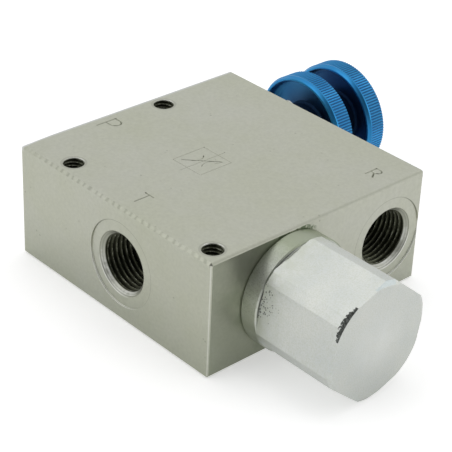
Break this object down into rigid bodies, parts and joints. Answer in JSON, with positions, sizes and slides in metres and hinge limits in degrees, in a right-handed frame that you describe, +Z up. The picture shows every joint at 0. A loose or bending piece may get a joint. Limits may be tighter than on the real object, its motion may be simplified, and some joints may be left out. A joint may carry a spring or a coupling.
{
  "type": "three-way flow control valve",
  "caption": "Square steel valve block with threaded ports, a hexagon cap over a bypass spool and a knurled hand wheel with lock ring that sets the flow.",
  "frame": {"origin": "centre of the block's underside", "axes": "+Z up out of the face with the mounting threads, +X out of the face with the hexagon cap and the regulated port, +Y out of the face with the hand wheels"},
  "size_m": [0.129, 0.1282, 0.04],
  "materials": {
    "zinc_plated_block": "satin zinc plate",
    "zinc_plated_cap": "satin zinc plate, brighter",
    "zinc_plated_bonnet": "turned and zinc plated",
    "seal_rubber": "black nitrile rubber",
    "ground_steel": "hardened and ground",
    "spring_steel": "drawn wire, oiled",
    "plain_steel": "turned",
    "backup_plastic": "white fluoroplastic",
    "blue_anodised": "blue anodised, knurled",
    "black_steel": "black oxide",
    "brass": "turned"
  },
  "bodies": {
    "block": {"valve_body": "zinc_plated_block", "compensator_cap": "zinc_plated_cap", "cap_o_ring": "seal_rubber", "compensator_spring": "spring_steel", "spring_seat": "plain_steel", "spring_shim": "plain_steel", "spool_stop_ring": "spring_steel", "throttle_bonnet": "zinc_plated_bonnet", "bonnet_o_ring": "seal_rubber", "spindle_o_ring": "seal_rubber", "spindle_backup_ring": "backup_plastic", "metering_sleeve": "ground_steel", "sleeve_o_ring": "seal_rubber", "guide_pin": "ground_steel", "damping_orifice": "brass", "sense_plug": "black_steel"},
    "bypass": {"compensator_spool": "ground_steel"},
    "needle": {"metering_spool": "ground_steel"},
    "knob": {"throttle_spindle": "plain_steel", "spindle_stop_ring": "spring_steel", "adjusting_knob": "blue_anodised", "knob_set_screw": "black_steel"},
    "lock": {"lock_ring": "blue_anodised"}
  },
  "joints": [
    {"name": "compensator_slide", "type": "slide", "parent": "block", "child": "bypass", "axis": [1, 0, 0], "range_m": [0, 0.012], "stiffness_N_per_m": 17600, "springref_m": -0.008, "deforming": ["compensator_spring"]},
    {"name": "metering_slide", "type": "slide", "parent": "block", "child": "needle", "axis": [0, 1, 0], "range_m": [-0.005, 0.0025]},
    {"name": "adjusting_turn", "type": "hinge", "parent": "needle", "child": "knob", "pos_m": [-0.0251, 0.045, 0.02], "axis": [0, 1, 0], "range_deg": [-1442, 721]},
    {"name": "lock_ring_turn", "type": "hinge", "parent": "block", "child": "lock", "pos_m": [-0.0251, 0.0636, 0.02], "axis": [0, 1, 0], "range_deg": [0, 90]}
  ],
  "couplings": [
    {"joint": "adjusting_turn", "follows": "metering_slide", "rad_per_m": 5026.5}
  ]
}
